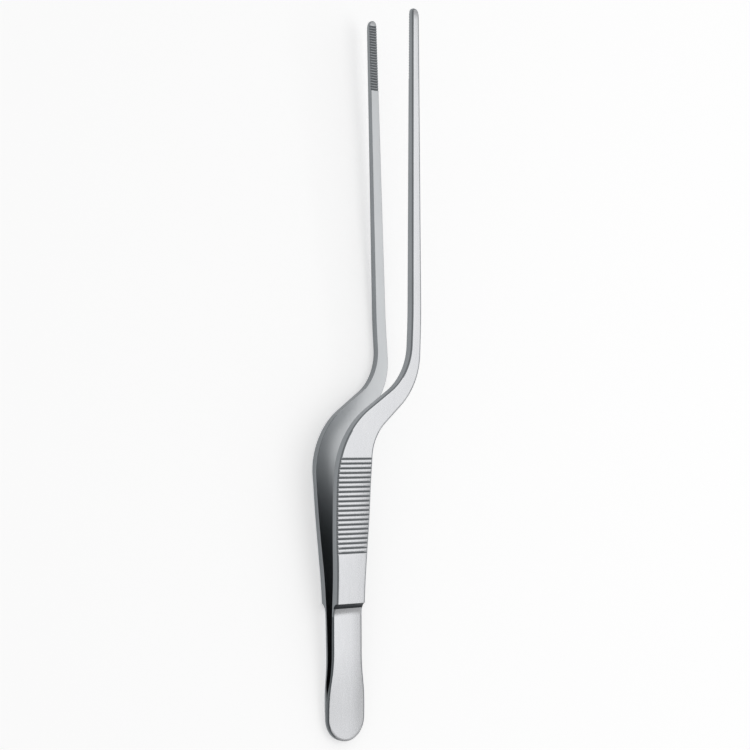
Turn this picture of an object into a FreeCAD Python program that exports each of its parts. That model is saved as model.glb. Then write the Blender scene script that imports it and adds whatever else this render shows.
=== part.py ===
import FreeCAD, Part
import math
import os

import Sketcher
from FreeCAD import Rotation, Vector

# Bayonet-shaped ear dressing forceps: two forged limbs, welded together at the tail.
# The limbs are drawn in the instrument's own frame. X runs from the tail end to the tips,
# Z is the opening direction with the closing plane at Z = 0, and the shanks lie towards -Y.
# At the end the whole instrument is laid down on the flat of its lower handle.
SIZES = {
    # whole instrument
    "overall_length": 160.0,
    "bayonet_offset": 15.9,       # from the handle's middle line to the shank's, sideways
    "handle_angle": 4.0,          # between the closing plane and either handle, in degrees
    # welded tail
    "tail_width": 9.9,
    "tail_straight": 2.0,         # straight sides after the round end
    "tail_end_thickness": 1.4,
    "weld_length": 8.8,
    "weld_root_gap": 0.08,        # hairline between the limbs where the weld ends
    # thin spring leaf of each limb
    "leaf_width": 7.85,
    "leaf_thickness": 0.86,
    "leaf_bevel": 0.2,
    "flare_radius": 36.0,         # from the wide tail to the leaf, in the plan view
    "parting_radius": 10.0,       # where the leaves bend apart, in the side view
    "parting_angle": 14.0,
    # handle
    "step_position": 29.5,        # crest of the step up to the full thickness
    "step_gap": 2.2,              # between the limbs' inner faces at the step
    "step_radius": 1.25,          # hollow of the step
    "handle_thickness": 1.75,
    "grip_width": 9.4,
    "grip_front": 55.0,           # where the handle is widest
    "handle_side_radius": 235.0,
    "waist_radius": 120.0,
    "rim_rounding": 0.41,         # outer edges of handle and shank
    # bayonet bend, seen in plan; the near side is the one that the shank bends to
    "near_bend_start": 60.7,
    "near_bend_angle": 48.0,
    "near_handle_radius": 10.0,
    "near_shank_radius": 15.0,
    "far_bend_start": 56.4,
    "far_bend_angle": 56.0,
    "far_handle_radius": 18.0,
    "far_shank_radius": 12.0,
    # shank and jaw
    "shank_start": 88.0,          # where the limbs begin to spread less
    "shank_taper": 0.39,          # of each side of the shank, in degrees
    "tip_width": 1.85,
    "tip_thickness": 1.28,
    "tip_gap": 13.8,              # between the open jaws
    "easing_radius": 120.0,       # where a long face changes direction
    # grooves across the outer faces
    "groove_count": 21,
    "groove_pitch": 1.005,
    "groove_first": 40.35,
    "groove_angle": 96.0,
    "groove_depth": 0.24,
    # teeth across the jaws
    "tooth_count": 25,
    "tooth_pitch": 0.6,
    "tooth_depth": 0.2,
    "tooth_gap_angle": 90.0,
    "tooth_last": 1.1,            # from the tip to the first gap between teeth
}

FRAME_MARGIN = 10
STRIP_WIDTH = "2 * (Sizes.bayonet_offset + Sizes.tail_width)"
NUDGE = 0.01

TAIL = "welded_tail"
UPPER = "upper_arm"
LOWER = "lower_arm"


def write_sheet(doc):
    """Puts the driving sizes into the document, each under its own name."""
    sheet = doc.addObject("Spreadsheet::Sheet", "Sizes")
    for row, (name, value) in enumerate(SIZES.items(), start=1):
        sheet.set(f"A{row}", name)
        sheet.set(f"B{row}", str(value))
        sheet.setAlias(f"B{row}", name)
    doc.recompute()
    return sheet


def size(name):
    return SIZES[name]


def half(name):
    return SIZES[name] / 2


def direction(heading):
    return Vector(math.cos(heading), math.sin(heading), 0)


def left_of(heading):
    return Vector(-math.sin(heading), math.cos(heading), 0)


def ogee_angle(first_radius, second_radius, rise):
    return math.acos(1 - abs(rise) / (first_radius + second_radius))


def ogee_run(first_radius, second_radius, rise):
    return (first_radius + second_radius) * math.sin(ogee_angle(first_radius, second_radius, rise))


def tangent_heading(centre, target, offset):
    """Heading of the line that passes the centre at this offset to its left and meets the target."""
    sight = target - centre
    return math.atan2(sight.y, sight.x) - math.asin(offset / sight.Length)


class Chain:
    """Lines and arcs drawn one after another in a sketch, each starting where the last one ends."""

    def __init__(self, sketch, start, heading=0.0, side=1):
        self.sketch = sketch
        self.point = start
        self.heading = heading
        self.side = side            # -1 draws the mirror image in the sketch's first axis
        self.pieces = []

    def place(self, point):
        return Vector(point.x, self.side * point.y, 0)

    def join(self, geometry, first, last, smooth):
        index = self.sketch.addGeometry(geometry, False)
        if self.pieces:
            kind = "Tangent" if smooth else "Coincident"
            before, _, end = self.pieces[-1]
            self.sketch.addConstraint(Sketcher.Constraint(kind, before, end, index, first))
        self.pieces.append((index, first, last))
        return index

    def line_to(self, target, smooth=False):
        run = target - self.point
        index = self.join(Part.LineSegment(self.place(self.point), self.place(target)), 1, 2, smooth)
        self.heading = math.atan2(run.y, run.x)
        self.point = target
        return index

    def forward(self, length):
        return self.line_to(self.point + direction(self.heading) * length, smooth=True)

    def bend(self, radius, angle, smooth=True):
        """An arc from the present heading; a positive angle turns left."""
        turn = math.copysign(1, angle)
        centre = self.point + left_of(self.heading) * radius * turn
        begin = self.heading - turn * math.pi / 2
        finish = begin + angle
        low, high = sorted((self.side * begin, self.side * finish))
        circle = Part.Circle(self.place(centre), Vector(0, 0, 1), radius)
        forwards = turn * self.side > 0
        first, last = (1, 2) if forwards else (2, 1)
        index = self.join(Part.ArcOfCircle(circle, low, high), first, last, smooth)
        self.heading += angle
        self.point = centre + direction(finish) * radius
        return index

    def ogee(self, first_radius, second_radius, rise):
        """Two arcs that shift the line sideways by the rise and leave its heading as it was."""
        angle = math.copysign(ogee_angle(first_radius, second_radius, rise), rise)
        return self.bend(first_radius, angle), self.bend(second_radius, -angle)

    def end(self):
        return self.pieces[-1][0], self.pieces[-1][2]

    def begin(self):
        return self.pieces[0][0], self.pieces[0][1]


def drive(sketch, kind, name, formula, *where):
    """A named dimension of a sketch that follows the sheet."""
    if kind == "Radius":
        value = sketch.Geometry[where[0]].Radius
    elif kind == "Angle":
        geometry = sketch.Geometry[where[0]]
        run = geometry.EndPoint - geometry.StartPoint
        value = math.atan2(run.y, run.x)
    elif kind == "Distance":
        value = 1
    else:
        point = sketch.getPoint(*where[-2:])
        value = point.x if kind == "DistanceX" else point.y
        if len(where) == 4:
            start = sketch.getPoint(*where[:2])
            value -= start.x if kind == "DistanceX" else start.y
        else:
            where = (-1, 1) + where
    index = sketch.addConstraint(Sketcher.Constraint(kind, *where, value))
    sketch.renameConstraint(index, name)
    sketch.setExpression("Constraints." + name, formula)


def new_sketch(body, name, plane):
    sketch = body.newObject("Sketcher::SketchObject", name)
    planes = {item.Role: item for item in body.Origin.OriginFeatures}
    sketch.AttachmentSupport = [(planes[plane], "")]
    sketch.MapMode = "FlatFace"
    return sketch


def add_frame(sketch, margin):
    """A rectangle well outside the outline, so that a pocket removes all between the two."""
    left = -margin
    right = size("overall_length") + margin
    top = size("bayonet_offset") + size("tail_width") + margin
    bottom = -top
    corners = [Vector(left, bottom, 0), Vector(right, bottom, 0), Vector(right, top, 0), Vector(left, top, 0)]
    lines = [sketch.addGeometry(Part.LineSegment(corners[i - 1], corners[i]), False) for i in range(4)]
    for i in range(4):
        sketch.addConstraint(Sketcher.Constraint("Coincident", lines[i - 1], 2, lines[i], 1))
    for line in lines[1::2]:
        sketch.addConstraint(Sketcher.Constraint("Horizontal", line))
    for line in lines[0::2]:
        sketch.addConstraint(Sketcher.Constraint("Vertical", line))
    reach = f"(Sizes.bayonet_offset + Sizes.tail_width + {margin})"
    drive(sketch, "DistanceX", "frame_left", f"-{margin}", lines[0], 1)
    drive(sketch, "DistanceX", "frame_right", f"Sizes.overall_length + {margin}", lines[2], 1)
    drive(sketch, "DistanceY", "frame_top", reach, lines[2], 2)
    drive(sketch, "DistanceY", "frame_bottom", f"-{reach}", lines[0], 2)


def draw_outline(sketch):
    """A limb's outline in plan: round tail, waisted leaf, handle, bayonet bend, shank, nose."""
    tail_radius = half("tail_width")
    nose_radius = half("tip_width")
    taper = math.radians(size("shank_taper"))
    chains = {}
    for side, name in ((-1, "near"), (1, "far")):
        chain = Chain(sketch, Vector(tail_radius, tail_radius, 0), side=side)
        chains[name] = chain
        straight = chain.forward(size("tail_straight"))
        flare = chain.ogee(size("flare_radius"), size("flare_radius"), half("leaf_width") - tail_radius)
        swell = half("grip_width") - half("leaf_width")
        waist_run = ogee_run(size("waist_radius"), size("handle_side_radius"), swell)
        leaf = chain.forward(size("grip_front") - waist_run - chain.point.x)
        waist = chain.ogee(size("waist_radius"), size("handle_side_radius"), swell)
        grip = chain.forward(size(name + "_bend_start") - chain.point.x)
        turn = -side * math.radians(size(name + "_bend_angle"))
        start_bend = chain.bend(size(name + "_handle_radius"), turn)
        shank_radius = size(name + "_shank_radius")
        nose_centre = Vector(size("overall_length") - nose_radius, -side * size("bayonet_offset"), 0)
        edge_start = nose_centre + left_of(-taper) * nose_radius
        tip_side = left_of(-taper)
        hand = math.copysign(1, -turn - taper)
        reached = chain.point + (left_of(turn) - tip_side) * shank_radius * hand
        slope = chain.forward((edge_start - reached).dot(tip_side) / direction(turn).dot(tip_side))
        end_bend = chain.bend(shank_radius, -turn - taper)
        edge = chain.forward((edge_start - chain.point).dot(direction(-taper)))

        for line in (straight, leaf, grip):
            sketch.addConstraint(Sketcher.Constraint("Horizontal", line))
        drive(sketch, "DistanceX", name + "_tail_straight", "Sizes.tail_width / 2 + Sizes.tail_straight",
              straight, 2)
        drive(sketch, "DistanceY", name + "_leaf", f"{side} * Sizes.leaf_width / 2", leaf, 1)
        drive(sketch, "DistanceX", name + "_grip_front", "Sizes.grip_front", grip, 1)
        drive(sketch, "DistanceY", name + "_grip", f"{side} * Sizes.grip_width / 2", grip, 1)
        drive(sketch, "DistanceX", name + "_bend_start", f"Sizes.{name}_bend_start", grip, 2)
        radii = ((flare[0], "flare_radius"), (flare[1], "flare_radius"), (waist[0], "waist_radius"),
                 (waist[1], "handle_side_radius"), (start_bend, name + "_handle_radius"),
                 (end_bend, name + "_shank_radius"))
        for arc, radius in radii:
            drive(sketch, "Radius", f"{name}_arc{arc}", "Sizes." + radius, arc)
        drive(sketch, "Angle", name + "_slope", f"-Sizes.{name}_bend_angle * 1 deg", slope)
        drive(sketch, "Angle", name + "_taper", f"{-side} * Sizes.shank_taper * 1 deg", edge)

    near, far = chains["near"], chains["far"]
    round_end = Part.Circle(Vector(tail_radius, 0, 0), Vector(0, 0, 1), tail_radius)
    tail = sketch.addGeometry(Part.ArcOfCircle(round_end, math.pi / 2, 3 * math.pi / 2), False)
    nose_circle = Part.Circle(Vector(nose_centre.x, -size("bayonet_offset"), 0), Vector(0, 0, 1), nose_radius)
    quarter = math.pi / 2
    nose = sketch.addGeometry(Part.ArcOfCircle(nose_circle, taper - quarter, quarter - taper), False)
    joins = ((tail, 1, far.begin()), (tail, 2, near.begin()), (nose, 1, near.end()), (nose, 2, far.end()))
    for arc, vertex, (other, other_vertex) in joins:
        sketch.addConstraint(Sketcher.Constraint("Tangent", arc, vertex, other, other_vertex))
    drive(sketch, "Radius", "tail_end", "Sizes.tail_width / 2", tail)
    drive(sketch, "DistanceX", "tail_centre", "Sizes.tail_width / 2", tail, 3)
    sketch.addConstraint(Sketcher.Constraint("PointOnObject", tail, 3, -1))
    drive(sketch, "Radius", "nose", "Sizes.tip_width / 2", nose)
    drive(sketch, "DistanceX", "nose_centre", "Sizes.overall_length - Sizes.tip_width / 2", nose, 3)
    drive(sketch, "DistanceY", "shank_line", "-Sizes.bayonet_offset", nose, 3)


def draw_arm_profile(sketch, side):
    """A limb seen from the side, from the weld to the tip, with its inner face towards Z = 0."""
    thickness = size("leaf_thickness")
    parting_radius = size("parting_radius")
    parting = math.radians(size("parting_angle"))
    slant = math.radians(size("handle_angle"))
    easing = size("easing_radius")
    step, bend, tip = size("step_position"), size("shank_start"), size("overall_length")
    handle_normal = left_of(slant)
    step_inner = Vector(step, half("step_gap"), 0)
    bend_inner = step_inner + Vector(bend - step, (bend - step) * math.tan(slant), 0)
    handle_rise = Vector(0, size("handle_thickness") / math.cos(slant), 0)
    tip_inner = Vector(tip, half("tip_gap"), 0)
    tip_outer = tip_inner + Vector(0, size("tip_thickness"), 0)
    start = Vector(size("weld_length"), half("weld_root_gap"), 0)
    parting_centre = start + Vector(0, parting_radius, 0) - left_of(parting) * 2 * parting_radius
    step_centre = step_inner + handle_normal * easing
    leaf_heading = tangent_heading(parting_centre, step_centre, parting_radius + easing)
    inner_heading = tangent_heading(bend_inner - handle_normal * easing, tip_inner, easing)
    outer_centre = bend_inner + handle_rise - handle_normal * easing
    outer_heading = tangent_heading(outer_centre, tip_outer, easing)

    chain = Chain(sketch, start, side=side)
    inner_first = chain.bend(parting_radius, parting)
    inner_second = chain.bend(parting_radius, leaf_heading - parting)
    leaf_inner = chain.line_to(step_centre - left_of(leaf_heading) * easing, smooth=True)
    step_easing = chain.bend(easing, slant - leaf_heading)
    handle_inner = chain.line_to(bend_inner, smooth=True)
    inner_easing = chain.bend(easing, inner_heading - slant)
    shank_inner = chain.line_to(tip_inner, smooth=True)
    tip_face = chain.line_to(tip_outer)
    chain.line_to(outer_centre + left_of(outer_heading) * easing)
    outer_easing = chain.bend(easing, slant - outer_heading)
    handle_outer = chain.line_to(step_inner + handle_rise, smooth=True)
    leaf_normal = left_of(leaf_heading)
    leaf_end = parting_centre + leaf_normal * (parting_radius + thickness)
    crest_height = (chain.point - leaf_end).dot(leaf_normal)
    sweep = math.acos(1 - crest_height / size("step_radius"))
    chain.heading = math.pi + leaf_heading + sweep
    hollow = chain.bend(size("step_radius"), -sweep, smooth=False)
    leaf_outer = chain.forward((chain.point - leaf_end).dot(direction(leaf_heading)))
    outer_second = chain.bend(parting_radius + thickness, parting - leaf_heading)
    outer_first = chain.bend(parting_radius - thickness, -parting)
    root = chain.line_to(start)
    sketch.addConstraint(Sketcher.Constraint("Coincident", root, 2, inner_first, chain.begin()[1]))

    sketch.addConstraint(Sketcher.Constraint("Vertical", root))
    sketch.addConstraint(Sketcher.Constraint("Vertical", tip_face))
    sketch.addConstraint(Sketcher.Constraint("Vertical", inner_first, 3, inner_first, chain.begin()[1]))
    sketch.addConstraint(Sketcher.Constraint("Parallel", leaf_inner, leaf_outer))
    sketch.addConstraint(Sketcher.Constraint("Parallel", handle_inner, handle_outer))
    sketch.addConstraint(Sketcher.Constraint("Coincident", inner_first, 3, outer_first, 3))
    sketch.addConstraint(Sketcher.Constraint("Coincident", inner_second, 3, outer_second, 3))
    sketch.addConstraint(Sketcher.Constraint("Equal", inner_first, inner_second))
    for arc in (step_easing, inner_easing, outer_easing):
        drive(sketch, "Radius", f"easing{arc}", "Sizes.easing_radius", arc)
    drive(sketch, "Radius", "parting_radius", "Sizes.parting_radius", inner_first)
    drive(sketch, "Radius", "step_radius", "Sizes.step_radius", hollow)
    drive(sketch, "DistanceX", "weld_length", "Sizes.weld_length", root, 2)
    drive(sketch, "DistanceY", "root_gap", f"{side} * Sizes.weld_root_gap / 2", root, 2)
    drive(sketch, "DistanceX", "inner_step", "Sizes.step_position", handle_inner, 1)
    drive(sketch, "DistanceY", "step_gap", f"{side} * Sizes.step_gap / 2", handle_inner, 1)
    drive(sketch, "DistanceX", "inner_bend", "Sizes.shank_start", handle_inner, 2)
    drive(sketch, "DistanceX", "outer_bend", "Sizes.shank_start", handle_outer, 1)
    drive(sketch, "DistanceX", "crest", "Sizes.step_position", handle_outer, 2)
    drive(sketch, "DistanceX", "length", "Sizes.overall_length", tip_face, 1)
    drive(sketch, "DistanceY", "tip_gap", f"{side} * Sizes.tip_gap / 2", tip_face, 1)
    drive(sketch, "DistanceY", "tip_outer", f"{side} * (Sizes.tip_gap / 2 + Sizes.tip_thickness)", tip_face, 2)
    drive(sketch, "Angle", "handle_angle", f"{side} * Sizes.handle_angle * 1 deg", handle_inner)
    drive(sketch, "Angle", "parting_angle", "Sizes.parting_angle * 1 deg", inner_first)
    jaw = sketch.addConstraint(Sketcher.Constraint("Angle", shank_inner, side * inner_heading))
    sketch.renameConstraint(jaw, "jaw_angle")
    sketch.setDriving(jaw, False)
    drive(sketch, "Distance", "leaf_thickness", "Sizes.leaf_thickness", leaf_outer, 1, leaf_inner)
    drive(sketch, "Distance", "handle_thickness", "Sizes.handle_thickness", handle_outer, 2, handle_inner)


def pad(body, sketch, name, formula):
    feature = body.newObject("PartDesign::Pad", name)
    feature.Profile = sketch
    feature.SideType = "Symmetric"
    feature.setExpression("Length", formula)
    body.Document.recompute()
    return feature


def pocket(body, sketch, name):
    """Cuts a sketch right through the body, both ways."""
    before = body.Shape.Volume
    feature = body.newObject("PartDesign::Pocket", name)
    feature.Profile = sketch
    feature.SideType = "Symmetric"
    feature.Type = "ThroughAll"
    body.Document.recompute()
    if not body.Shape.Volume < before:
        raise RuntimeError(name + " cut nothing")
    return feature


def ease(body, kind, name, edges, formula):
    """Rounds or bevels the edges of the body's last feature that are given by number."""
    base = body.Tip
    feature = body.newObject("PartDesign::" + kind, name)
    feature.Base = (base, [f"Edge{number}" for number in edges])
    feature.setExpression({"Fillet": "Radius", "Chamfer": "Size"}[kind], formula)
    body.Document.recompute()
    return feature


def rim_edges(shape, side, low, high):
    """Numbers of the edges between low and high X where an outer face meets a side wall."""
    found = []
    for number, edge in enumerate(shape.Edges, start=1):
        middle = edge.valueAt((edge.FirstParameter + edge.LastParameter) / 2)
        if not low < middle.x < high:
            continue
        tilts = []
        for face in shape.ancestorsOfType(edge, Part.Face):
            u, v = face.Surface.parameter(middle)
            tilts.append(face.normalAt(u, v).z * side)
        if len(tilts) == 2 and max(tilts) > 0.9 and abs(min(tilts)) < 0.05:
            found.append(number)
    return found


def trim_to_outline(body):
    sketch = new_sketch(body, body.Name + "_outline", "XY_Plane")
    draw_outline(sketch)
    add_frame(sketch, FRAME_MARGIN)
    return pocket(body, sketch, body.Name + "_trim")


def cut_grooves(body, side):
    """V-shaped grooves square across the handle's outer face, out through its rounded rims."""
    slant = math.radians(size("handle_angle"))
    spread = math.radians(half("groove_angle"))
    height = (half("step_gap") + (size("groove_first") - size("step_position")) * math.tan(slant)
              + (size("handle_thickness") - size("groove_depth")) / math.cos(slant))
    bottom = Vector(size("groove_first"), height, 0)
    mouth_height = left_of(slant) * size("groove_depth") * 2
    mouth_half = direction(slant) * size("groove_depth") * 2 * math.tan(spread)
    sketch = new_sketch(body, body.Name + "_groove", "XZ_Plane")
    chain = Chain(sketch, bottom, side=side)
    tail_flank = chain.line_to(bottom + mouth_height - mouth_half)
    mouth = chain.line_to(bottom + mouth_height + mouth_half)
    tip_flank = chain.line_to(bottom)
    along = sketch.addGeometry(Part.LineSegment(chain.place(bottom), chain.place(bottom + direction(slant))), True)

    sketch.addConstraint(Sketcher.Constraint("Coincident", tip_flank, 2, tail_flank, 1))
    sketch.addConstraint(Sketcher.Constraint("Coincident", along, 1, tail_flank, 1))
    sketch.addConstraint(Sketcher.Constraint("Equal", tip_flank, tail_flank))
    sketch.addConstraint(Sketcher.Constraint("Parallel", mouth, along))
    drive(sketch, "DistanceX", "groove_first", "Sizes.groove_first", tail_flank, 1)
    drive(sketch, "DistanceY", "groove_height", f"""{side} * (Sizes.step_gap / 2
        + (Sizes.groove_first - Sizes.step_position) * tan(Sizes.handle_angle * 1 deg)
        + (Sizes.handle_thickness - Sizes.groove_depth) / cos(Sizes.handle_angle * 1 deg))""", tail_flank, 1)
    drive(sketch, "Angle", "groove_line", f"{side} * Sizes.handle_angle * 1 deg", along)
    drive(sketch, "Angle", "flank", f"{side} * (90 deg + (Sizes.handle_angle + Sizes.groove_angle / 2) * 1 deg)",
          tail_flank)
    drive(sketch, "Distance", "groove_depth", "2 * Sizes.groove_depth", tail_flank, 1, mouth)
    drive(sketch, "Distance", "along_length", "Sizes.groove_pitch", along)
    first = pocket(body, sketch, body.Name + "_groove_cut")
    repeat(body, first, sketch, body.Name + "_grooves", "groove", reverse=False)


def cut_teeth(body, profile, side, shift):
    """V-shaped gaps across the jaw's inner face; the shift is in tooth pitches."""
    name = body.Name
    slant = side * profile.getDatum("jaw_angle").getValueAs("rad").Value
    spread = math.radians(half("tooth_gap_angle"))
    inset = size("tooth_last") + shift * size("tooth_pitch")
    height = half("tip_gap") - inset * math.tan(slant)
    face = Vector(size("overall_length") - inset, height, 0)
    depth = left_of(slant) * size("tooth_depth")
    width = direction(slant) * size("tooth_depth") * 2 * math.tan(spread)
    sketch = new_sketch(body, name + "_tooth_gap", "XZ_Plane")
    chain = Chain(sketch, face + depth, side=side)
    tail_flank = chain.line_to(face - depth - width)
    mouth = chain.line_to(face - depth + width)
    tip_flank = chain.line_to(face + depth)
    apex = chain.place(face + depth)
    ahead = chain.place(face + depth + direction(slant) * size("tooth_pitch"))
    along = sketch.addGeometry(Part.LineSegment(apex, ahead), True)

    jaw_angle = f"{profile.Name}.Constraints.jaw_angle"
    jaw = f"({side} * {jaw_angle})"
    inset_formula = f"(Sizes.tooth_last + {shift} * Sizes.tooth_pitch)"
    sketch.addConstraint(Sketcher.Constraint("Coincident", tip_flank, 2, tail_flank, 1))
    sketch.addConstraint(Sketcher.Constraint("Coincident", along, 1, tail_flank, 1))
    sketch.addConstraint(Sketcher.Constraint("Equal", tip_flank, tail_flank))
    sketch.addConstraint(Sketcher.Constraint("Parallel", mouth, along))
    drive(sketch, "DistanceX", "apex_place", f"Sizes.overall_length - {inset_formula}"
          f" - Sizes.tooth_depth * sin({jaw})", tail_flank, 1)
    drive(sketch, "DistanceY", "apex_height", f"{side} * (Sizes.tip_gap / 2 - {inset_formula} * tan({jaw})"
          f" + Sizes.tooth_depth * cos({jaw}))", tail_flank, 1)
    drive(sketch, "Angle", "jaw_line", jaw_angle, along)
    drive(sketch, "Angle", "flank", f"{jaw_angle} - {side} * (90 deg + Sizes.tooth_gap_angle / 2 * 1 deg)",
          tail_flank)
    drive(sketch, "Distance", "tooth_depth", "2 * Sizes.tooth_depth", tail_flank, 1, mouth)
    drive(sketch, "Distance", "along_length", "Sizes.tooth_pitch", along)
    first = pocket(body, sketch, name + "_tooth_cut")
    repeat(body, first, sketch, name + "_teeth", "tooth", reverse=True)


def repeat(body, first, sketch, name, kind, reverse):
    """Copies a cut along the sketch's construction line, at the pitch of its kind."""
    pattern = body.newObject("PartDesign::LinearPattern", name)
    pattern.Originals = [first]
    pattern.Direction = (sketch, ["Axis0"])
    pattern.Reversed = reverse
    pattern.Mode = "Spacing"
    pattern.setExpression("Offset", f"Sizes.{kind}_pitch")
    pattern.setExpression("Occurrences", f"Sizes.{kind}_count")
    body.Tip = pattern
    body.Document.recompute()


def build_arm(doc, name, side, tooth_shift):
    """One limb from the weld to the tip, with its grooves and teeth."""
    body = doc.addObject("PartDesign::Body", name)
    profile = new_sketch(body, name + "_profile", "XZ_Plane")
    draw_arm_profile(profile, side)
    doc.recompute()
    pad(body, profile, name + "_strip", STRIP_WIDTH)
    trim_to_outline(body)
    handle = rim_edges(body.Shape, side, size("step_position"), size("overall_length"))
    ease(body, "Fillet", name + "_rim", handle, "Sizes.rim_rounding")
    leaf = rim_edges(body.Shape, side, size("weld_length") + NUDGE, size("step_position"))
    ease(body, "Chamfer", name + "_leaf_rim", leaf, "Sizes.leaf_bevel")
    cut_grooves(body, side)
    cut_teeth(body, profile, side, tooth_shift)
    return body


def build_tail(doc):
    """Both limbs' ends, welded flat to flat and ground to one round-ended mass."""
    body = doc.addObject("PartDesign::Body", TAIL)
    end = half("tail_end_thickness")
    front = size("leaf_thickness") + half("weld_root_gap")
    weld = size("weld_length")
    sketch = new_sketch(body, TAIL + "_profile", "XZ_Plane")
    chain = Chain(sketch, Vector(0, -end, 0))
    lower = chain.line_to(Vector(weld, -front, 0))
    joint = chain.line_to(Vector(weld, front, 0))
    upper = chain.line_to(Vector(0, end, 0))
    back = chain.line_to(Vector(0, -end, 0))
    sketch.addConstraint(Sketcher.Constraint("Coincident", back, 2, lower, 1))
    sketch.addConstraint(Sketcher.Constraint("Vertical", joint))
    sketch.addConstraint(Sketcher.Constraint("PointOnObject", back, 1, -2))
    sketch.addConstraint(Sketcher.Constraint("PointOnObject", back, 2, -2))
    drive(sketch, "DistanceX", "weld_length", "Sizes.weld_length", joint, 1)
    front_formula = "(Sizes.leaf_thickness + Sizes.weld_root_gap / 2)"
    for place, line, vertex, formula in (("lower_front", joint, 1, "-" + front_formula),
                                         ("upper_front", joint, 2, front_formula),
                                         ("upper_end", back, 1, "Sizes.tail_end_thickness / 2"),
                                         ("lower_end", back, 2, "-Sizes.tail_end_thickness / 2")):
        drive(sketch, "DistanceY", place, formula, line, vertex)
    pad(body, sketch, TAIL + "_plate", STRIP_WIDTH)
    trim_to_outline(body)
    rim = [edge for side in (-1, 1) for edge in rim_edges(body.Shape, side, 0, weld - NUDGE)]
    ease(body, "Chamfer", TAIL + "_rim", rim, "Sizes.leaf_bevel")
    return body


def lay_down(bodies):
    """Rests the instrument on the flat of its lower handle, centred over the origin."""
    slant = math.radians(size("handle_angle"))
    face_offset = half("step_gap") - size("step_position") * math.tan(slant)
    face_depth = size("handle_thickness") + face_offset * math.cos(slant)
    turn = Rotation(Vector(0, 1, 0), -size("handle_angle"))
    for body in bodies:
        body.Placement = FreeCAD.Placement(Vector(0, 0, face_depth), turn)
    box = FreeCAD.BoundBox()
    for body in bodies:
        box.add(body.Shape.optimalBoundingBox())
    for body in bodies:
        body.Placement = FreeCAD.Placement(Vector(-box.Center.x, -box.Center.y, face_depth), turn)


def check(doc, bodies):
    """Stops before anything is written if a feature or a finished piece is faulty."""
    for item in doc.Objects:
        if "Invalid" in item.State or "Error" in item.State:
            raise RuntimeError(f"{item.Name} failed: {item.State}")
    for body in bodies:
        if body.Shape.isNull() or not body.Shape.isValid() or len(body.Shape.Solids) != 1:
            raise RuntimeError(body.Name + " is not one valid solid")


def main():
    doc = FreeCAD.newDocument("dressing_forceps")
    write_sheet(doc)
    bodies = [build_tail(doc), build_arm(doc, UPPER, side=1, tooth_shift=0),
              build_arm(doc, LOWER, side=-1, tooth_shift=0.5)]
    lay_down(bodies)
    doc.recompute()
    check(doc, bodies)
    os.makedirs("parts", exist_ok=True)
    for body in bodies:
        body.Shape.exportStep(f"parts/{body.Label}.step")
        print(body.Label, f"{body.Shape.Volume:.2f} mm3", body.Shape.optimalBoundingBox())


main()
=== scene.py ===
import math

import bmesh
import bpy
from mathutils import Matrix, Vector


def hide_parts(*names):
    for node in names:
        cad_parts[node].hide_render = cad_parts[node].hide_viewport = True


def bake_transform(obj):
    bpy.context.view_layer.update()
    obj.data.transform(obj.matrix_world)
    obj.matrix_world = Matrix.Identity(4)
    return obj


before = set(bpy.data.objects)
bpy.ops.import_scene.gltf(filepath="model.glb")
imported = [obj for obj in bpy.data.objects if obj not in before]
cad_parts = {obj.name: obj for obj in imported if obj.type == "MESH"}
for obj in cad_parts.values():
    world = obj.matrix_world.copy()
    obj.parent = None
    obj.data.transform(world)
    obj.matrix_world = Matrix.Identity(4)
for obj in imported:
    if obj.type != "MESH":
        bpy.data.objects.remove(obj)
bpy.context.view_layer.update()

# A pair of ear dressing forceps in satin stainless steel. Each limb is one forged blade that runs from the
# rounded tail to the fine tip, so it is modelled as one piece: its outline is drawn flat, padded, rounded
# along its rims, and then lifted to its side profile. Sizes are millimetres until the limb is laid down:
# x runs from the tail to the tip, y across the blade, and z up from the plane where the limbs close. The
# floor, the light and the camera are in metres.
METRE_PER_MM = 0.001
LENGTH = 160.0

# Plan of a blade, seen from above. A run is ("straight", x where it ends) or ("arc", radius, degrees that it
# turns to the left).
TAIL_RADIUS = 4.95
NEAR_SIDE = [
    ("straight", 6.95),
    ("arc", 36.0, 9.679),
    ("arc", 36.0, -9.679),
    ("straight", 31.5554),
    ("arc", 120.0, -3.787),
    ("arc", 235.0, 3.787),
    ("straight", 60.7),
    ("arc", 10.0, -48.0),
    ("straight", 72.0656),
    ("arc", 15.0, 48.3),
    ("straight", 158.3158),
]
NOSE = [("arc", 4.0, 14.0), ("arc", 0.9524, 151.4), ("arc", 4.0, 14.0)]
FAR_SIDE = [
    ("straight", 85.2205),
    ("arc", 12.0, -55.7),
    ("straight", 71.3227),
    ("arc", 18.0, 56.0),
    ("straight", 55.0),
    ("arc", 235.0, 3.787),
    ("arc", 120.0, -3.787),
    ("straight", 19.0558),
    ("arc", 36.0, -9.679),
    ("arc", 36.0, 9.679),
    ("straight", TAIL_RADIUS),
]
TAIL_END = [("arc", TAIL_RADIUS, 180.0)]

# Steps of the plan's arcs: up to which radius, and how many degrees each. With no window, spin turns an arc
# the other way round.
ARC_STEPS = [(2.0, 12.0), (60.0, 3.0), (math.inf, 0.8)]
LEAST_STEPS = 3
SPIN_SENSE = -1.0

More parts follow.
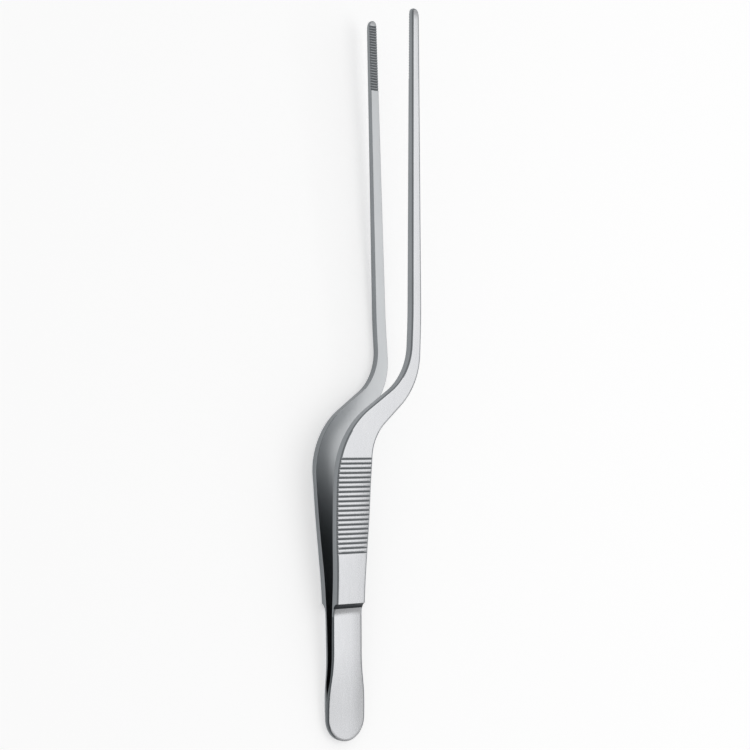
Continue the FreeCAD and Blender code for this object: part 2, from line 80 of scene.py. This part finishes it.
# Side profile of the upper blade, as points and as arcs. An arc has its centre, its radius, its first and
# last angle, and the degrees in a step.
WELD_END = 8.8
STEP_RUN_IN = 26.83
STEP_FOOT = 28.442
STEP_CREST = 29.5
TAIL_TOP = [(0.0, 0.72), (2.0, 0.77)]
LEAF_RISE = range(3, 20)
LEAF_TOP = [(20.0, 1.50), (26.7, 1.598)]
RUN_IN_ARC = ((26.7427, 6.5992), 5.0, 271.0, 290.0, 3.5)
STEP_ARC = ((27.7922, 3.6874), 1.9, 290.0, 334.0, 5.5)
HANDLE_END = (88.0, 6.945)
OUTER_BEND = ((96.3708, -112.7627), 120.0, 94.0, 90.837, 0.7)
SHANK_START = (94.6173, 7.2245)
SHANK_SLOPE = 0.014614
INNER_WELD = [(0.0, 0.0), (WELD_END - 0.02, 0.0), (WELD_END, 0.04)]
PARTING_BEND = ((8.8, 10.04), 10.0, 270.0, 284.0, 3.5)
PARTING_RETURN = ((13.6384, -9.3659), 10.0, 104.0, 91.133, 3.5)
INNER_LEAF_ARC = ((21.1292, 120.8077), 120.0, 271.133, 274.0, 0.7)
INNER_HANDLE_END = (88.0, 5.1907)
INNER_BEND = ((96.3708, -114.517), 120.0, 94.0, 91.25, 0.7)

# The nose rounds down in steps of some degrees, and both profiles end a little past the tip
NOSE_START = 157.3
NOSE_LENGTH = 2.8
NOSE_DROP = 0.55
NOSE_STEPS = 10
NOSE_STEP = 8.0
PAST_TIP = 0.1
PAST_TIP_DROP = 0.05
INNER_TIP_HEIGHT = 6.9022

# The outer faces are a little crowned across their width: how far the edges lie lower, from the tail on
CROWN_END = 60.0
CROWN = [(0.0, 0.20), (WELD_END, 0.24), (STEP_RUN_IN, 0.26), (STEP_CREST, 0.10), (38.0, 0.12), (42.0, 0.24),
         (55.0, 0.24), (CROWN_END, 0.0)]
CROWN_HALF_WIDTH = 4.7
CROWN_CUTS = (-3.1, -2.3, -1.5, -0.7, 0.7, 1.5, 2.3, 3.1)

# The padded blank with the rounding of its rims, and how high those rims are in the finished blade. The
# inner rim is only broken, and less so in the weld, where the limbs meet.
BLANK_HEIGHT = 1.0
RIM_WIDTH = 0.56
RIM_SEGMENTS = 6
RIM = 0.41
LEAF_RIM = 0.14
INNER_BREAK = 0.13
INNER_SEGMENTS = 2
WELD_BREAK_SHARE = 0.12

# Grip grooves across the outer face, and teeth across the inner face of the tip
GROOVE_COUNT = 21
GROOVE_PITCH = 1.005
GROOVE_FIRST = 40.35
GROOVE_MARGIN = 0.5
GROOVE_SHAPE = [(-0.42, 0.0), (-0.28, 0.02), (-0.13, 0.068), (0.0, 0.20), (0.13, 0.068), (0.28, 0.02),
                (0.42, 0.0)]
GROOVES = [GROOVE_FIRST + GROOVE_PITCH * i for i in range(GROOVE_COUNT)]
TOOTH_COUNT = 25
TOOTH_PITCH = 0.6
TOOTH_LAST = 1.1
TOOTH_SHAPE = [(-0.27, 0.0), (-0.25, 0.010), (0.0, 0.23), (0.25, 0.010), (0.27, 0.0)]

# More places where the blade is cut across, so that no face is long: in the tail, handle, bend and shank
MORE_STATIONS = [0.5, 1.5, 3.0, 31.5, 33.5, 35.5, 37.5, 39.2, 54.0, 57.0, 60.0, 65.0, 70.0, 76.0, 82.0, 105.0,
                 118.0, 131.0]
STATION_GAP = 0.004
END_MARGIN = 0.05

# How near points have to be to be joined, or to a cut to count as on it, and the slack when they are chosen
JOIN_REACH = 0.02
CUT_REACH = 0.0005
SLACK = 0.001

# How the closed pair lies: pitched back on the outer face of one handle
PITCH = math.radians(-4.0)
LAID_AT = (-80.0589781, 6.1955298, 0.7895045)

# Faces that meet at less than this angle are shaded as one, and large faces lead the shading
SMOOTH_ANGLE = math.radians(34.0)
LARGE_FACE_WEIGHT = 60

# A limb's material slots, and how far a face leans from the flat on walls, across the limb on rims, and
# along it on the flanks of cuts. The edge slot paints shade on those walls, rims and flanks, and the hollow
# slot paints a nearly black shade band into the hollow of the step.
SATIN, EDGE, INNER, SHADED_HOLLOW = range(4)
WALL_LEAN = 0.9
RIM_LEAN = 0.24
FLANK_LEAN = 0.35

# Lines of the grinding belt, with their depths. Real ones are about 0.1 mm wide, too fine to show in the
# render, so they are drawn 0.4 mm wide. The roughness changes with them, most of it between the low and the
# high value of their noise. The tone changes in slow clouds, as it does where a hand leads the belt.
LINE_WIDTH = 0.4
LINE_LENGTH = 20.0
LINE_DETAIL = 1.0
LINE_LOW = 0.3
LINE_HIGH = 0.7
LINE_STRENGTH = 0.25
FINE_LINES = 0.0008
COARSE_LINES = 0.003
SHEEN_SPREAD = 0.012
CLOUD_SIZE = 9.0
CLOUD_DETAIL = 2.0

# Painted shade: between the handles the inner faces are painted darker, where shade falls in the narrow gap.
# These places, from the middle of the laid pair, are where the painted shade is full and where it has gone.
HANDLE_GAP_SHADE_FULL = -40.0
HANDLE_GAP_SHADE_GONE = -6.0

# The floor glows enough to be seen white. The studio's brightness is given by height, as the sine of the
# elevation and the level. Two sides of it are a little dimmer: each has the axis of the direction, where the
# dimming starts, where it is full, and the share of light that is left.
FLOOR_SIZE = 8.0
FLOOR_GLOW = 0.44
STUDIO_LEVELS = [(0.02, 1.0), (0.10, 0.84), (0.45, 0.60), (0.80, 0.46)]
PAST_TAILS = ("X", -0.25, -0.65, 0.75)
BEHIND_CAMERA = ("Y", 0.05, 0.45, 0.9)


def sampled_arc(centre, radius, start, end, step):
    """Points of an arc in the side profile, by its angles in degrees."""
    count = max(2, math.ceil(abs(end - start) / step))
    points = []
    for i in range(count + 1):
        angle = math.radians(start + (end - start) * i / count)
        points.append((centre[0] + radius * math.cos(angle), centre[1] + radius * math.sin(angle)))
    return points


def eased(start, end, x):
    """Height at x of a smooth rise between two runs of the profile, each given by two points."""
    (x0, z0), (x1, z1) = start
    (x2, z2), (x3, z3) = end
    first_slope = (z1 - z0) / (x1 - x0)
    last_slope = (z3 - z2) / (x3 - x2)
    span = x2 - x1
    t = (x - x1) / span
    return ((2 * t ** 3 - 3 * t ** 2 + 1) * z1 + (t ** 3 - 2 * t ** 2 + t) * span * first_slope
            + (3 * t ** 2 - 2 * t ** 3) * z2 + (t ** 3 - t ** 2) * span * last_slope)


def outer_profile():
    """The outer face from tail to tip: tail, leaf, hollow of the step, handle, shank and rounded nose."""
    points = list(TAIL_TOP)
    points += [(x, eased(TAIL_TOP, LEAF_TOP, x)) for x in LEAF_RISE]
    points += LEAF_TOP
    points += sampled_arc(*RUN_IN_ARC)
    points += sampled_arc(*STEP_ARC)[1:]
    points += [HANDLE_END]
    points += sampled_arc(*OUTER_BEND)[1:]
    for i in range(NOSE_STEPS):
        turned = math.radians(NOSE_STEP * i)
        x = NOSE_START + NOSE_LENGTH * math.sin(turned)
        straight_on = SHANK_START[1] + (x - SHANK_START[0]) * SHANK_SLOPE
        points.append((x, straight_on - NOSE_DROP * (1 - math.cos(turned))))
    points += [(LENGTH + PAST_TIP, points[-1][1] - PAST_TIP_DROP)]
    return points


def inner_profile():
    """The inner face from tail to tip, with the parting bend that opens the two leaves."""
    points = list(INNER_WELD)
    points += sampled_arc(*PARTING_BEND)[1:]
    points += sampled_arc(*PARTING_RETURN)[1:]
    points += sampled_arc(*INNER_LEAF_ARC)
    points += [INNER_HANDLE_END]
    points += sampled_arc(*INNER_BEND)[1:]
    points += [(LENGTH + PAST_TIP, INNER_TIP_HEIGHT)]
    return points


def along(points, x):
    """Height of a profile at x."""
    if x <= points[0][0]:
        return points[0][1]
    for (x0, z0), (x1, z1) in zip(points, points[1:]):
        if x <= x1:
            return z0 + (z1 - z0) * (x - x0) / (x1 - x0) if x1 > x0 else z1
    return points[-1][1]


def cut_depth(places, shape, x):
    """Depth of a row of like cuts at x."""
    for place in places:
        offset = x - place
        if shape[0][0] < offset < shape[-1][0]:
            return along(shape, offset)
    return 0.0


def stations(teeth):
    """Where the blade is cut across, so that its faces can follow the side profile and the cuts in it."""
    places = [point[0] for point in outer_profile() + inner_profile()]
    places += [groove + offset for groove in GROOVES for offset, depth in GROOVE_SHAPE]
    places += [tooth + offset for tooth in teeth for offset, depth in TOOTH_SHAPE]
    places += MORE_STATIONS
    kept = []
    for place in sorted(places):
        inside = END_MARGIN < place < LENGTH - END_MARGIN
        if inside and (not kept or place - kept[-1] > STATION_GAP):
            kept.append(place)
    return kept


def edit(obj):
    """Only this object selected, in edit mode."""
    bpy.ops.object.select_all(action="DESELECT")
    obj.select_set(True)
    bpy.context.view_layer.objects.active = obj
    bpy.ops.object.mode_set(mode="EDIT")


def choose(obj, kind, wanted):
    """Selects the verts, edges or faces for which wanted is true."""
    bpy.ops.mesh.select_mode(type=kind[:-1].upper())
    bpy.ops.mesh.select_all(action="DESELECT")
    mesh = bmesh.from_edit_mesh(obj.data)
    for part in getattr(mesh, kind):
        if wanted(part):
            part.select_set(True)
    mesh.select_flush_mode()
    bmesh.update_edit_mesh(obj.data)


class Pen:
    """Draws the outline on from the selected vertex, by straight runs and spun arcs."""

    def __init__(self, x, y):
        self.x = x
        self.y = y
        self.heading = 0.0

    def straight(self, end_x):
        length = (end_x - self.x) / math.cos(self.heading)
        step = (math.cos(self.heading) * length, math.sin(self.heading) * length, 0.0)
        bpy.ops.mesh.extrude_region_move(TRANSFORM_OT_translate={"value": step})
        self.x += step[0]
        self.y += step[1]

    def arc(self, radius, turn):
        side = 1.0 if turn > 0 else -1.0
        centre = (self.x - side * radius * math.sin(self.heading),
                  self.y + side * radius * math.cos(self.heading))
        fine = next(degrees for up_to, degrees in ARC_STEPS if radius < up_to)
        steps = max(LEAST_STEPS, math.ceil(abs(turn) / fine))
        angle = math.radians(turn)
        bpy.ops.mesh.spin(steps=steps, angle=SPIN_SENSE * angle, center=(*centre, 0.0), axis=(0.0, 0.0, 1.0))
        dx = self.x - centre[0]
        dy = self.y - centre[1]
        self.x = centre[0] + dx * math.cos(angle) - dy * math.sin(angle)
        self.y = centre[1] + dx * math.sin(angle) + dy * math.cos(angle)
        self.heading += angle

    def draw(self, runs):
        for kind, *sizes in runs:
            getattr(self, kind)(*sizes)


def blade_blank(name):
    """A flat blade of even height with the whole outline, its outer rim rounded and its inner rim broken."""
    bpy.ops.object.select_all(action="DESELECT")
    bpy.ops.mesh.primitive_plane_add(size=1.0, location=(TAIL_RADIUS, -TAIL_RADIUS, 0.0))
    blade = bpy.context.active_object
    blade.name = name
    blade.data.name = name
    bpy.ops.object.transform_apply(location=True, rotation=False, scale=False)
    edit(blade)
    bpy.ops.mesh.merge(type="CENTER")
    choose(blade, "verts", lambda vert: True)
    pen = Pen(TAIL_RADIUS, -TAIL_RADIUS)
    pen.draw(NEAR_SIDE + NOSE + FAR_SIDE + TAIL_END)
    bpy.ops.mesh.select_all(action="SELECT")
    bpy.ops.mesh.remove_doubles(threshold=JOIN_REACH)
    bpy.ops.mesh.select_mode(type="EDGE")
    bpy.ops.mesh.select_all(action="SELECT")
    bpy.ops.mesh.edge_face_add()
    bpy.ops.mesh.select_mode(type="FACE")
    bpy.ops.mesh.select_all(action="SELECT")
    bpy.ops.mesh.extrude_region_move(TRANSFORM_OT_translate={"value": (0.0, 0.0, BLANK_HEIGHT)})
    bpy.ops.mesh.select_all(action="SELECT")
    bpy.ops.mesh.normals_make_consistent(inside=False)
    choose(blade, "edges", lambda edge: all(vert.co.z > BLANK_HEIGHT - SLACK for vert in edge.verts))
    bpy.ops.mesh.bevel(offset=RIM_WIDTH, segments=RIM_SEGMENTS, profile=0.5, affect="EDGES",
                       clamp_overlap=False)
    choose(blade, "edges", lambda edge: all(vert.co.z < SLACK for vert in edge.verts))
    bpy.ops.mesh.bevel(offset=INNER_BREAK, segments=INNER_SEGMENTS, profile=0.5, affect="EDGES",
                       clamp_overlap=False)
    return blade


def cut_across(places):
    """Cuts the blade across at each place."""
    for place in places:
        bpy.ops.mesh.select_all(action="SELECT")
        bpy.ops.mesh.bisect(plane_co=(place, 0.0, 0.0), plane_no=(1.0, 0.0, 0.0), threshold=CUT_REACH)


def cut_along(blade):
    """Cuts the broad outer face lengthwise behind the bend, so that it can be crowned."""
    def is_broad(face):
        return all(vert.co.z > BLANK_HEIGHT - SLACK and vert.co.x < CROWN_END + SLACK for vert in face.verts)

    for place in CROWN_CUTS:
        choose(blade, "faces", is_broad)
        bpy.ops.mesh.bisect(plane_co=(0.0, place, 0.0), plane_no=(0.0, 1.0, 0.0), threshold=CUT_REACH)


def lift(blade, teeth):
    """Brings the flat blade to its side profile, and lets in the grip grooves and the teeth. What stands no
    higher in the blank than twice the inner break belongs to the inner face."""
    outer = outer_profile()
    inner = inner_profile()
    mesh = bmesh.from_edit_mesh(blade.data)
    for vert in mesh.verts:
        x = vert.co.x
        height = vert.co.z
        if height > 2 * INNER_BREAK:
            rise = min(1.0, max(0.0, (x - STEP_RUN_IN) / (STEP_CREST - STEP_RUN_IN)))
            rim_height = LEAF_RIM + (RIM - LEAF_RIM) * rise
            surface = along(outer, x) - along(CROWN, x) * (vert.co.y / CROWN_HALF_WIDTH) ** 2
            vert.co.z = min(surface - (BLANK_HEIGHT - height) * rim_height / RIM_WIDTH,
                            surface - cut_depth(GROOVES, GROOVE_SHAPE, x))
        else:
            surface = along(inner, x)
            broken = height * (1.0 if x > WELD_END else WELD_BREAK_SHARE)
            vert.co.z = max(surface + broken, surface + cut_depth(teeth, TOOTH_SHAPE, x))
    bmesh.update_edit_mesh(blade.data)


def forged_limb(name, side, tooth_shift, node_names):
    """One limb, the blade from the tail's end to the tip: side is 1 above the closing plane and -1 below."""
    last_tooth = LENGTH - TOOTH_LAST + tooth_shift
    teeth = [last_tooth - TOOTH_PITCH * i for i in range(TOOTH_COUNT)]
    blade = blade_blank(name)
    cut_across(stations(teeth))
    cut_along(blade)
    lift(blade, teeth)
    if side < 0:
        bpy.ops.mesh.select_all(action="SELECT")
        bpy.ops.transform.resize(value=(1.0, 1.0, -1.0), center_override=(0.0, 0.0, 0.0))
    bpy.ops.mesh.select_all(action="SELECT")
    bpy.ops.mesh.normals_make_consistent(inside=False)
    bpy.ops.object.mode_set(mode="OBJECT")
    finish_faces(blade, side)
    laid = Matrix.Scale(METRE_PER_MM, 4) @ Matrix.Translation(LAID_AT) @ Matrix.Rotation(PITCH, 4, "Y")
    blade.matrix_world = laid
    bpy.ops.object.transform_apply(location=True, rotation=True, scale=True)
    bpy.ops.object.shade_smooth_by_angle(angle=SMOOTH_ANGLE)
    even = blade.modifiers.new("even normals", "WEIGHTED_NORMAL")
    even.keep_sharp = True
    even.weight = LARGE_FACE_WEIGHT
    bpy.ops.object.modifier_apply(modifier=even.name)
    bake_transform(blade)
    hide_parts(*node_names)


def finish_faces(blade, side):
    """Outer faces are satin; walls, rims and the flanks of cuts get the edge finish, a darker grey of painted
    shade; inner faces are blasted, with the upper leaf's walls, which get no painted shade. The hollow of the
    step gets a nearly black band of painted shade."""
    for material in STEEL:
        blade.data.materials.append(material)
    for face in blade.data.polygons:
        x = face.center.x
        outward = face.normal.z * side > 0
        flank = abs(face.normal.x) > FLANK_LEAN
        in_grooves = GROOVE_FIRST - GROOVE_MARGIN < x < GROOVE_FIRST + GROOVE_PITCH * GROOVE_COUNT
        in_teeth = x > LENGTH - TOOTH_LAST - TOOTH_PITCH * (TOOTH_COUNT + 0.5)
        # Painted shade: the step's hollow, the flanks of grooves and teeth, and the walls and rims get darker
        # finishes
        if outward and STEP_FOOT < x < STEP_CREST:
            face.material_index = SHADED_HOLLOW
        elif flank and (in_grooves if outward else in_teeth):
            face.material_index = EDGE
        elif abs(face.normal.z) < WALL_LEAN or abs(face.normal.y) > RIM_LEAN:
            face.material_index = INNER if x < STEP_RUN_IN and side > 0 else EDGE
        else:
            face.material_index = SATIN if outward else INNER


def linear(hex_colour):
    """An sRGB hex colour as Blender's linear colour."""
    channels = [int(hex_colour[i:i + 2], 16) / 255 for i in (1, 3, 5)]
    return tuple(c / 12.92 if c <= 0.04045 else ((c + 0.055) / 1.055) ** 2.4 for c in channels) + (1.0,)


def add_node(owner, kind, settings=None, links=None):
    """Adds a node to a material or a world, with its settings and the links that feed it, and returns it."""
    tree = owner.node_tree
    node = tree.nodes.new(kind)
    for key, value in (settings or {}).items():
        if isinstance(key, int) or key in node.inputs:
            node.inputs[key].default_value = value
        else:
            setattr(node, key, value)
    for socket, source in (links or {}).items():
        tree.links.new(source, node.inputs[socket])
    return node


def ground_steel(name, colours, roughness, line_depth, handle_gap_shade=None):
    """Stainless steel ground on a belt: lines run along the limb and change its sheen, and its tone changes
    slowly between two colours. A painted shade colour, when given, darkens the faces between the handles
    and fades out at the bend."""
    material = bpy.data.materials.new(name)
    material.use_nodes = True
    shader = material.node_tree.nodes["Principled BSDF"]
    shader.inputs["Metallic"].default_value = 1.0
    place = add_node(material, "ShaderNodeTexCoord").outputs["Object"]
    drawn = add_node(material, "ShaderNodeMapping", {"Scale": (LINE_WIDTH / LINE_LENGTH, 1.0, 1.0)},
                     {"Vector": place})
    lines = add_node(material, "ShaderNodeTexNoise",
                     {"Scale": 1.0 / (LINE_WIDTH * METRE_PER_MM), "Detail": LINE_DETAIL},
                     {"Vector": drawn.outputs["Vector"]})
    clouds = add_node(material, "ShaderNodeTexNoise",
                      {"Scale": 1.0 / (CLOUD_SIZE * METRE_PER_MM), "Detail": CLOUD_DETAIL}, {"Vector": place})
    sheen = add_node(material, "ShaderNodeMapRange",
                     {"From Min": LINE_LOW, "From Max": LINE_HIGH,
                      "To Min": roughness - SHEEN_SPREAD, "To Max": roughness + SHEEN_SPREAD},
                     {"Value": lines.outputs["Fac"]})
    tone = add_node(material, "ShaderNodeMix",
                    {"data_type": "RGBA", 6: linear(colours[0]), 7: linear(colours[1])},
                    {0: clouds.outputs["Fac"]})
    # Painted shade between the handles: this colour darkens the inner faces there and fades out towards the
    # bend
    if handle_gap_shade:
        parts = add_node(material, "ShaderNodeSeparateXYZ", {}, {0: place})
        gap_shade_fade = add_node(material, "ShaderNodeMapRange",
                           {"interpolation_type": "SMOOTHSTEP",
                            "From Min": HANDLE_GAP_SHADE_FULL * METRE_PER_MM,
                            "From Max": HANDLE_GAP_SHADE_GONE * METRE_PER_MM},
                           {"Value": parts.outputs["X"]})
        tone = add_node(material, "ShaderNodeMix", {"data_type": "RGBA", 6: linear(handle_gap_shade)},
                        {0: gap_shade_fade.outputs["Result"], 7: tone.outputs[2]})
    grain = add_node(material, "ShaderNodeBump",
                     {"Strength": LINE_STRENGTH, "Distance": line_depth * METRE_PER_MM},
                     {"Height": lines.outputs["Fac"]})
    for socket, source in (("Roughness", sheen.outputs["Result"]), ("Base Color", tone.outputs[2]),
                           ("Normal", grain.outputs["Normal"])):
        material.node_tree.links.new(source, shader.inputs[socket])
    return material


def finishes():
    """The finishes of a limb, in the order of its material slots."""
    return [
        # Outer faces, ground on a fine belt: pale silver, with reflections drawn soft along the limb
        ground_steel("satin ground stainless steel", ("#D8D9DB", "#D3D4D7"), 0.27, FINE_LINES),
        # Walls, rims and flanks of the cuts: a darker grey, painted shade that draws dark lines round the
        # bright faces
        ground_steel("edge steel with painted shade", ("#93979A", "#888C8F"), 0.33, COARSE_LINES),
        # Inner faces, fine blasted over the belt's lines: an even, matter grey, with painted shade that
        # darkens it between the handles towards the weld
        ground_steel("fine blasted stainless steel", ("#CED0D2", "#C7CACC"), 0.34, FINE_LINES, "#666A6D"),
        # Hollow of the step: a dull, nearly black band of painted shade
        ground_steel("step hollow with painted shade", ("#3E4144", "#36393C"), 0.38, COARSE_LINES),
    ]


def white_floor():
    """A plain white card under the forceps: white to the eye and in the metal, and it keeps their shadow."""
    material = bpy.data.materials.new("white card floor")
    material.use_nodes = True
    shader = material.node_tree.nodes["Principled BSDF"]
    shader.inputs["Base Color"].default_value = linear("#F0F0F0")
    shader.inputs["Roughness"].default_value = 0.9
    shader.inputs["Specular IOR Level"].default_value = 0.0
    shader.inputs["Emission Color"].default_value = (1.0, 1.0, 1.0, 1.0)
    path = add_node(material, "ShaderNodeLightPath")
    seen = add_node(material, "ShaderNodeMath", {"operation": "MAXIMUM"},
                    {0: path.outputs["Is Camera Ray"], 1: path.outputs["Is Glossy Ray"]})
    seen_through = add_node(material, "ShaderNodeMath", {"operation": "MAXIMUM"},
                            {0: seen.outputs[0], 1: path.outputs["Is Transmission Ray"]})
    glow = add_node(material, "ShaderNodeMath", {"operation": "MULTIPLY", 1: FLOOR_GLOW},
                    {0: seen_through.outputs[0]})
    material.node_tree.links.new(glow.outputs[0], shader.inputs["Emission Strength"])
    bpy.ops.object.select_all(action="DESELECT")
    bpy.ops.mesh.primitive_plane_add(size=FLOOR_SIZE, location=(0.0, 0.0, 0.0))
    floor = bpy.context.active_object
    floor.name = "floor"
    floor.data.materials.append(material)


def studio_world():
    """The studio round the table: white at the horizon, where it is seen, dimmer with height, and a little
    dimmer still past the tails and behind the camera, which draws the dark lines of the step and the rims."""
    world = bpy.data.worlds.new("studio")
    bpy.context.scene.world = world
    world.use_nodes = True
    background = world.node_tree.nodes["Background"]
    direction = add_node(world, "ShaderNodeTexCoord")
    parts = add_node(world, "ShaderNodeSeparateXYZ", {}, {0: direction.outputs["Generated"]})
    height = add_node(world, "ShaderNodeValToRGB", {}, {"Fac": parts.outputs["Z"]})
    horizon, low_sky, *higher = STUDIO_LEVELS
    for element, (place, level) in zip(height.color_ramp.elements, (horizon, low_sky)):
        element.position = place
        element.color = (level, level, level, 1.0)
    for place, level in higher:
        height.color_ramp.elements.new(place).color = (level, level, level, 1.0)
    sides = [add_node(world, "ShaderNodeMapRange",
                      {"From Min": start, "From Max": full, "To Min": 1.0, "To Max": left},
                      {"Value": parts.outputs[axis]})
             for axis, start, full, left in (PAST_TAILS, BEHIND_CAMERA)]
    dimmed = add_node(world, "ShaderNodeMath", {"operation": "MULTIPLY"},
                      {0: sides[0].outputs["Result"], 1: sides[1].outputs["Result"]})
    above = add_node(world, "ShaderNodeMapRange", {"From Min": horizon[0], "From Max": low_sky[0]},
                     {"Value": parts.outputs["Z"]})
    strength = add_node(world, "ShaderNodeMix", {2: 1.0}, {0: above.outputs["Result"], 3: dimmed.outputs[0]})
    world.node_tree.links.new(height.outputs["Color"], background.inputs["Color"])
    world.node_tree.links.new(strength.outputs[0], background.inputs["Strength"])


def softbox(name, place, target, size, power):
    """A square softbox that faces the target."""
    light = bpy.data.lights.new(name, "AREA")
    light.shape = "SQUARE"
    light.size = size
    light.energy = power
    lamp = bpy.data.objects.new(name, light)
    bpy.context.scene.collection.objects.link(lamp)
    lamp.location = place
    lamp.rotation_euler = (Vector(target) - Vector(place)).to_track_quat("-Z", "Y").to_euler()
    lamp.visible_camera = False


def photo_camera():
    """The photograph's view: tips up, from above and a little from the far side."""
    lean = math.radians(39.31)
    towards_tips = math.radians(-5.791)
    roll = math.radians(3.244)
    distance = 0.400
    focal_pixels = 1825.75
    picture_width = 750.0
    sensor_width = 36.0
    target = Vector((-0.001554, -0.001982, 0.008))
    towards = Vector((math.sin(towards_tips), math.cos(towards_tips) * math.sin(lean),
                      math.cos(towards_tips) * math.cos(lean)))
    up = (Vector((1, 0, 0)) - towards * towards.x).normalized()
    right = up.cross(towards)
    turned_up = up * math.cos(roll) + right * math.sin(roll)
    turned_right = right * math.cos(roll) - up * math.sin(roll)
    camera_data = bpy.data.cameras.new("photograph view")
    camera_data.sensor_width = sensor_width
    camera_data.lens = focal_pixels * sensor_width / picture_width
    camera_data.clip_start = 0.01
    camera = bpy.data.objects.new("photograph view", camera_data)
    bpy.context.scene.collection.objects.link(camera)
    facing = Matrix((turned_right, turned_up, towards)).transposed().to_4x4()
    camera.matrix_world = Matrix.Translation(target + towards * distance) @ facing
    bpy.context.scene.camera = camera


photo_camera()
studio_world()
white_floor()
softbox("key softbox", place=(-0.015, -0.244, 0.548), target=(0.0, 0.0, 0.0), size=0.5, power=0.60)
STEEL = finishes()
forged_limb("upper_limb", 1.0, 0.0, ["upper_arm", "welded_tail"])
forged_limb("lower_limb", -1.0, -TOOTH_PITCH / 2, ["lower_arm"])
bpy.context.scene.view_settings.view_transform = "Standard"
